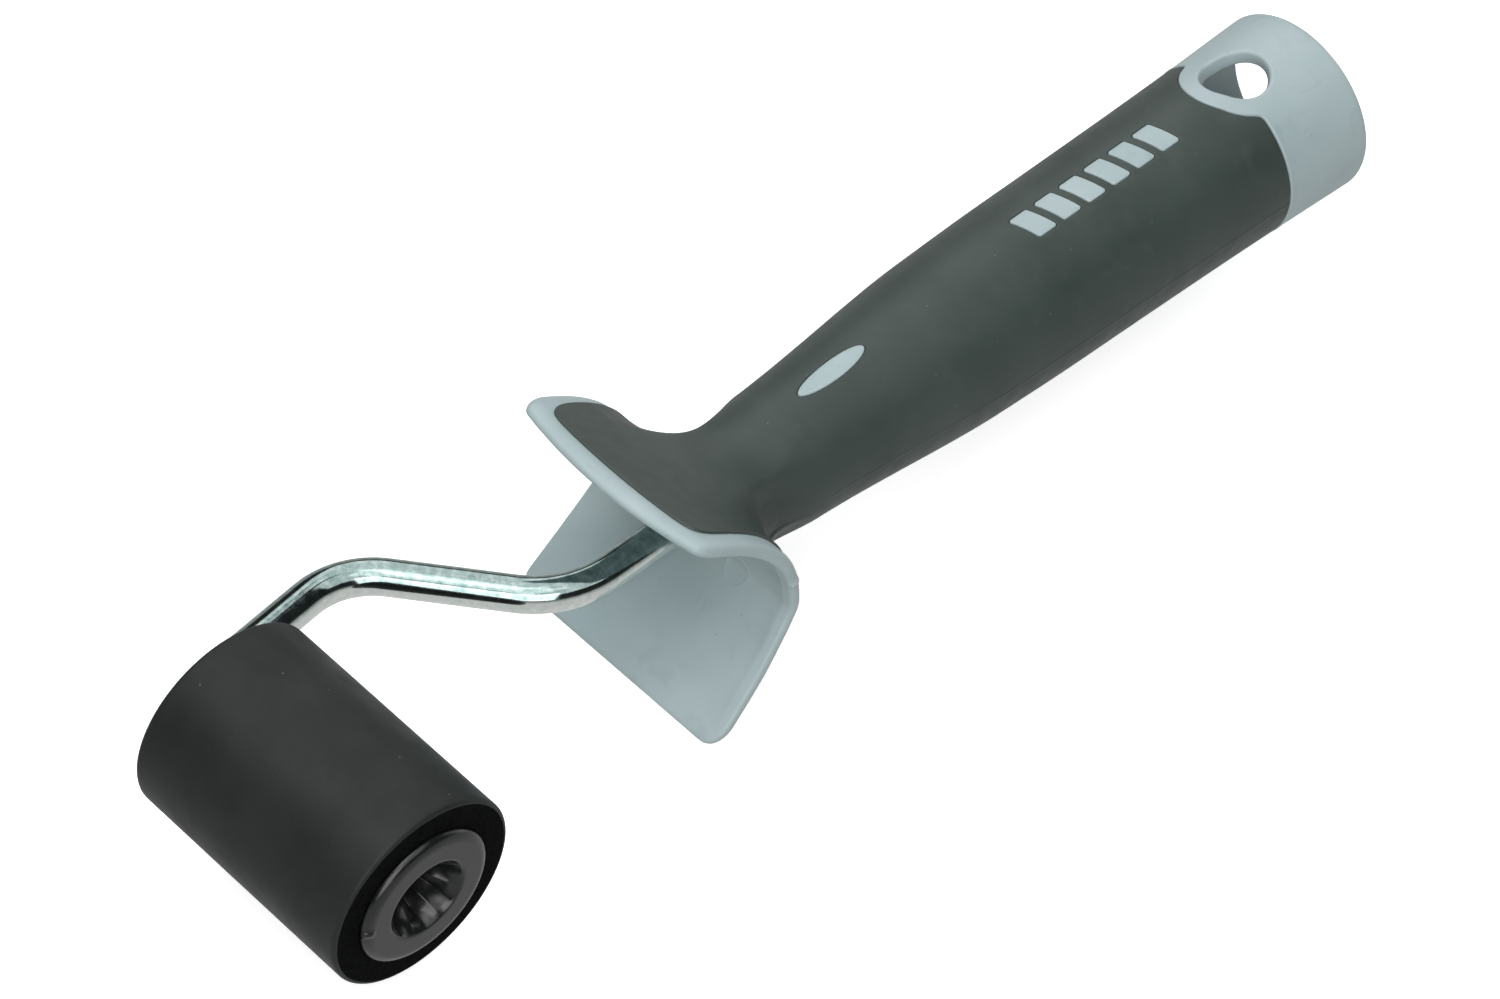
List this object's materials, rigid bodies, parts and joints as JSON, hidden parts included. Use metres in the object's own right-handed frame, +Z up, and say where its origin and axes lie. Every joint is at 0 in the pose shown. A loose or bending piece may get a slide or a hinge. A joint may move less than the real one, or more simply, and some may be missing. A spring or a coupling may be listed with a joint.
{
  "type": "seam roller",
  "caption": "Hand roller for pressing sheet and membrane seams: a spinning rubber sleeve on a cranked wire frame with a guarded two-component handle.",
  "frame": {"origin": "bottom centre of the tool's box, under the middle of its length", "axes": "+Y along the handle from the roller to the butt, +X along the roller's axle to its free end, +Z up through the hang hole"},
  "size_m": [0.0584, 0.2346, 0.0459],
  "materials": {
    "sleeve_rubber": "matte, fine-ground rubber",
    "tube_plastic": "plain extruded plastic",
    "cap_plastic": "glossy moulded plastic",
    "bush_acetal": "satin acetal",
    "zinc_wire": "bright zinc plating",
    "spring_steel": "oiled spring steel",
    "grey_plastic": "satin moulded plastic",
    "soft_grip": "matte soft-touch elastomer"
  },
  "bodies": {
    "handle": {"handle_core": "grey_plastic", "grip_overmould": "soft_grip", "wire_frame": "zinc_wire", "axle_retaining_ring": "spring_steel", "stop_collar": "spring_steel"},
    "roller": {"roller_sleeve": "sleeve_rubber", "core_tube": "tube_plastic", "outer_end_cap": "cap_plastic", "inner_end_cap": "cap_plastic", "outer_bush": "bush_acetal", "inner_bush": "bush_acetal"}
  },
  "joints": [
    {"name": "roller_spin", "type": "hinge", "parent": "handle", "child": "roller", "pos_m": [0.005, -0.1002, 0.0234], "axis": [1, 0, 0], "continuous": true}
  ]
}
